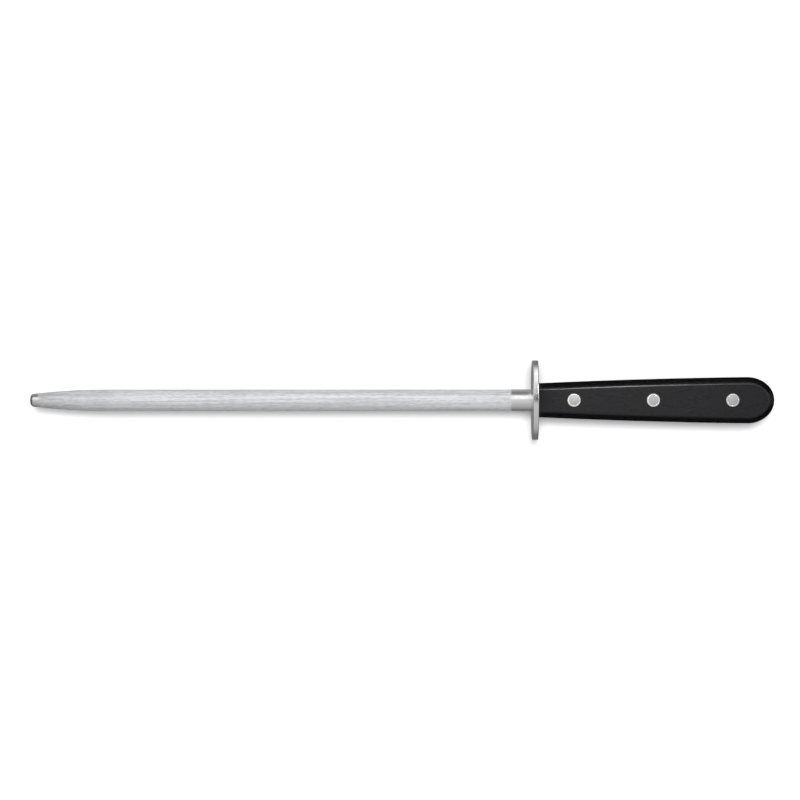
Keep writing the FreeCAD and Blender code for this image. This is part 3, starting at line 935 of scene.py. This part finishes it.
def make_world(studio):
    """Bands of brightness all round the rod's axis; plain white where the camera sees past the object."""
    world = bpy.data.worlds.new("studio bands")
    bpy.context.scene.world = world
    world.use_nodes = True
    tree = world.node_tree
    tree.nodes.clear()
    direction = add_node(tree, "ShaderNodeTexCoord").outputs["Generated"]
    axes = add_node(tree, "ShaderNodeSeparateXYZ", {"Vector": direction})
    angle = add_node(
        tree, "ShaderNodeMath", {0: axes.outputs["Y"], 1: axes.outputs["Z"]}, operation="ARCTAN2"
    ).outputs[0]
    share = add_node(
        tree, "ShaderNodeMath", {0: angle, 1: 1.0 / TURN, 2: 0.5}, operation="MULTIPLY_ADD"
    ).outputs[0]
    ramp = add_node(tree, "ShaderNodeValToRGB", {"Fac": share})
    stops = [(degrees / 360.0 + 0.5, value * BAND_SCALE) for degrees, value in WORLD_BANDS]
    set_ramp(ramp.color_ramp, stops)
    tipwards = add_node(
        tree, "ShaderNodeMath", {0: axes.outputs["X"], 1: -1.0}, operation="MULTIPLY"
    ).outputs[0]
    fade = add_node(tree, "ShaderNodeValToRGB", {"Fac": tipwards})
    set_ramp(fade.color_ramp, TIPWARD_FADE)
    values = {0: fade.outputs["Color"], 1: studio.world_strength / BAND_SCALE}
    dimmed = add_node(tree, "ShaderNodeMath", values, operation="MULTIPLY")
    bands = add_node(
        tree, "ShaderNodeBackground", {"Color": ramp.outputs["Color"], "Strength": dimmed.outputs[0]}
    )
    backdrop = add_node(
        tree, "ShaderNodeBackground", {"Color": (1.0, 1.0, 1.0, 1.0), "Strength": BACKDROP_STRENGTH}
    )
    seen = add_node(tree, "ShaderNodeLightPath").outputs["Is Camera Ray"]
    values = {0: seen, 1: bands.outputs["Background"], 2: backdrop.outputs["Background"]}
    mixed = add_node(tree, "ShaderNodeMixShader", values)
    add_node(tree, "ShaderNodeOutputWorld", {"Surface": mixed.outputs["Shader"]})
    # Sampled directly, the world would light a surface through the cards, which cast no shadow.
    world.cycles.sampling_method = "NONE"


def set_ramp(ramp, stops):
    """Fills a colour ramp with grey stops of (position, value)."""
    while len(ramp.elements) > 1:
        ramp.elements.remove(ramp.elements[-1])
    for i, (position, value) in enumerate(stops):
        element = ramp.elements[0] if i == 0 else ramp.elements.new(position)
        element.position = position
        element.color = (value, value, value, 1.0)


def only_in_reflections(card):
    """The card shows in glossy reflections only: it casts no shadow and no camera sees it."""
    card.visible_camera = False
    card.visible_diffuse = False
    card.visible_transmission = False
    card.visible_volume_scatter = False
    card.visible_shadow = False


def glow_material(name, coordinate, stops):
    """A card's light: stops of (coordinate, radiance), where coordinate(tree, axes) gives the first."""
    material = bpy.data.materials.new(name)
    material.use_nodes = True
    tree = material.node_tree
    tree.nodes.clear()
    place = add_node(tree, "ShaderNodeTexCoord").outputs["Object"]
    axes = add_node(tree, "ShaderNodeSeparateXYZ", {"Vector": place})
    low, high = stops[0][0], stops[-1][0]
    top = max(radiance for _, radiance in stops)
    values = {"Value": coordinate(tree, axes), "From Min": low, "From Max": high}
    share = add_node(tree, "ShaderNodeMapRange", values).outputs["Result"]
    ramp = add_node(tree, "ShaderNodeValToRGB", {"Fac": share})
    set_ramp(ramp.color_ramp, [((at - low) / (high - low), radiance / top) for at, radiance in stops])
    glow = add_node(tree, "ShaderNodeEmission", {"Color": ramp.outputs["Color"], "Strength": top})
    add_node(tree, "ShaderNodeOutputMaterial", {"Surface": glow.outputs["Emission"]})
    # Sampled directly, a far card would light a surface through a nearer one.
    material.cycles.emission_sampling = "NONE"
    return material


def along_rod(tree, axes):
    """The coordinate along X."""
    return axes.outputs["X"]


def round_rod(tree, axes):
    """The angle round the X axis from overhead, in degrees, + towards +Y."""
    angle = add_node(
        tree, "ShaderNodeMath", {0: axes.outputs["Y"], 1: axes.outputs["Z"]}, operation="ARCTAN2"
    ).outputs[0]
    return add_node(tree, "ShaderNodeMath", {0: angle, 1: 360.0 / TURN}, operation="MULTIPLY").outputs[0]


def bend_card(name, place, material, steps=48):
    """A card bent round the X axis: its place is its reach from the axis, its ends along X and two angles."""
    reach, sides, angles = place
    bm = bmesh.new()
    rows = []
    for step in range(steps + 1):
        angle = math.radians(angles[0] + (angles[1] - angles[0]) * step / steps)
        rows.append([bm.verts.new((x, reach * math.sin(angle), reach * math.cos(angle))) for x in sides])
    for one, two in zip(rows, rows[1:]):
        bm.faces.new((one[0], one[1], two[1], two[0]))
    mesh = bpy.data.meshes.new(name)
    bm.to_mesh(mesh)
    bm.free()
    mesh.materials.append(material)
    only_in_reflections(new_object(name, mesh))


def make_cards():
    """The small cards that shape the reflections of each part."""
    bend_card("handle_trough", TROUGH_PLACE, glow_material("black card", along_rod, TROUGH_GLOW))
    bend_card("handle_strip", STRIP_PLACE, glow_material("strip light", along_rod, STRIP_GLOW), steps=8)
    bend_card("handle_grey", GREY_PLACE, glow_material("grey card", along_rod, GREY_GLOW), steps=8)
    for number, (front, back, level) in enumerate(ROD_HOOPS):
        place = (HOOP_REACH, (front, back), (ROD_GLOW[0][0], ROD_GLOW[-1][0]))
        stops = [(angle, value * level) for angle, value in ROD_GLOW]
        glow = glow_material(f"hoop card {number}", round_rod, stops)
        bend_card(f"rod_hoop_{number}", place, glow, steps=96)
    bend_card("neck_flag", NECK_PLACE, glow_material("neck card", round_rod, NECK_GLOW), steps=16)
    bend_card("guard_hoop", GUARD_PLACE, glow_material("hoop card", round_rod, GUARD_GLOW), steps=96)


def make_floor():
    """A plain pale floor at the guard's lowest point."""
    half = FLOOR_HALF_WIDTH
    mesh = bpy.data.meshes.new("floor")
    z = GUARD_LOW.z
    corners = [(-half, -half, z), (half, -half, z), (half, half, z), (-half, half, z)]
    mesh.from_pydata(corners, [], [(0, 1, 2, 3)])
    floor = new_object("floor", mesh)
    material, _, shader = new_material("pale matt paper")
    shader.inputs["Base Color"].default_value = (*linear("A09FA0"), 1.0)
    shader.inputs["Roughness"].default_value = 1.0
    shader.inputs["Specular IOR Level"].default_value = 0.0
    mesh.materials.append(material)
    floor.visible_glossy = False


def make_sun(name, strength, tilt, width):
    """A soft light for the matt surfaces only: tilt from overhead towards +Y and width, both in degrees."""
    data = bpy.data.lights.new(name, "SUN")
    data.energy = strength
    data.angle = math.radians(width)
    sun = bpy.data.objects.new(name, data)
    bpy.context.scene.collection.objects.link(sun)
    sun.rotation_euler = (-math.radians(tilt), 0.0, 0.0)
    sun.visible_glossy = False
    sun.visible_camera = False


def make_camera(studio):
    """The camera looks straight down, with the rod's tip on the left."""
    data = bpy.data.cameras.new("camera")
    data.sensor_width = 36.0
    data.lens = data.sensor_width * studio.camera_height / studio.field
    camera = bpy.data.objects.new("camera", data)
    bpy.context.scene.collection.objects.link(camera)
    camera.location = (studio.centre_x, CAMERA_Y, studio.camera_height)
    bpy.context.scene.camera = camera


def make_stage(settings):
    """Floor, cards, light and camera."""
    bpy.context.scene.view_settings.view_transform = "Standard"
    studio = settings.studio
    make_world(studio)
    make_floor()
    make_cards()
    make_sun("key", studio.key_strength, 8.0, 16.0)
    make_sun("fill", studio.fill_strength, -50.0, 50.0)
    make_camera(studio)


# ---------------------------------------------------------------- operators, panel, registration


class STEEL_OT_stage(bpy.types.Operator):
    """Add the floor, the cards, the light and the camera"""

    bl_idname = "steel.stage"
    bl_label = "Stage"

    def execute(self, context):
        make_stage(context.scene.steel)
        return {"FINISHED"}


class STEEL_OT_tip(bpy.types.Operator):
    """Add the rod's polished tip"""

    bl_idname = "steel.tip"
    bl_label = "Polished tip"

    def execute(self, context):
        make_tip(context.scene.steel)
        return {"FINISHED"}


class STEEL_OT_ridged_rod(bpy.types.Operator):
    """Add the ridged part of the rod"""

    bl_idname = "steel.ridged_rod"
    bl_label = "Ridged rod"

    def execute(self, context):
        make_ridged_rod(context.scene.steel)
        return {"FINISHED"}


class STEEL_OT_neck(bpy.types.Operator):
    """Add the rod's polished neck and its root"""

    bl_idname = "steel.neck"
    bl_label = "Polished neck"

    def execute(self, context):
        make_neck(context.scene.steel)
        return {"FINISHED"}


class STEEL_OT_guard(bpy.types.Operator):
    """Add the finger guard"""

    bl_idname = "steel.guard"
    bl_label = "Finger guard"

    def execute(self, context):
        make_guard(context.scene.steel)
        return {"FINISHED"}


class STEEL_OT_tang(bpy.types.Operator):
    """Give the tang its ground steel"""

    bl_idname = "steel.tang"
    bl_label = "Full tang"

    def execute(self, context):
        finish_tang(context.scene.steel)
        return {"FINISHED"}


class STEEL_OT_scales(bpy.types.Operator):
    """Add the two handle scales"""

    bl_idname = "steel.scales"
    bl_label = "Handle scales"

    def execute(self, context):
        settings = context.scene.steel
        make_scale(settings, "scale_upper", 1.0, "handle_scale_upper")
        make_scale(settings, "scale_lower", -1.0, "handle_scale_lower")
        return {"FINISHED"}


class STEEL_OT_rivets(bpy.types.Operator):
    """Add the rivets' posts and sockets"""

    bl_idname = "steel.rivets"
    bl_label = "Rivets"

    def execute(self, context):
        make_rivets(context.scene.steel)
        return {"FINISHED"}


OPERATORS = (
    STEEL_OT_tip, STEEL_OT_ridged_rod, STEEL_OT_neck, STEEL_OT_guard, STEEL_OT_tang, STEEL_OT_scales,
    STEEL_OT_rivets, STEEL_OT_stage,
)


class STEEL_PT_panel(bpy.types.Panel):
    """Lists the pieces of the sharpening steel and their settings"""

    bl_idname = "STEEL_PT_panel"
    bl_label = "Sharpening Steel"
    bl_space_type = "VIEW_3D"
    bl_region_type = "UI"
    bl_category = "Steel"

    def draw(self, context):
        for operator in OPERATORS:
            self.layout.operator(operator.bl_idname)
        settings = context.scene.steel
        for group in (settings.rod, settings.guard, settings.handle, settings.rivets, settings.finishes,
                      settings.studio):
            box = self.layout.box()
            for name in group.__annotations__:
                box.prop(group, name)


CLASSES = (
    SteelRodSizes, SteelGuardSizes, SteelHandleSizes, SteelRivetSizes, SteelFinishes, SteelStudio,
    SteelSettings, *OPERATORS, STEEL_PT_panel,
)


def register():
    for cls in CLASSES:
        bpy.utils.register_class(cls)
    bpy.types.Scene.steel = bpy.props.PointerProperty(type=SteelSettings)


def unregister():
    del bpy.types.Scene.steel
    for cls in reversed(CLASSES):
        bpy.utils.unregister_class(cls)


def main():
    register()
    bpy.ops.steel.tip()
    bpy.ops.steel.ridged_rod()
    bpy.ops.steel.neck()
    bpy.ops.steel.guard()
    bpy.ops.steel.tang()
    bpy.ops.steel.scales()
    bpy.ops.steel.rivets()
    bpy.ops.steel.stage()


if __name__ == "__main__":
    main()
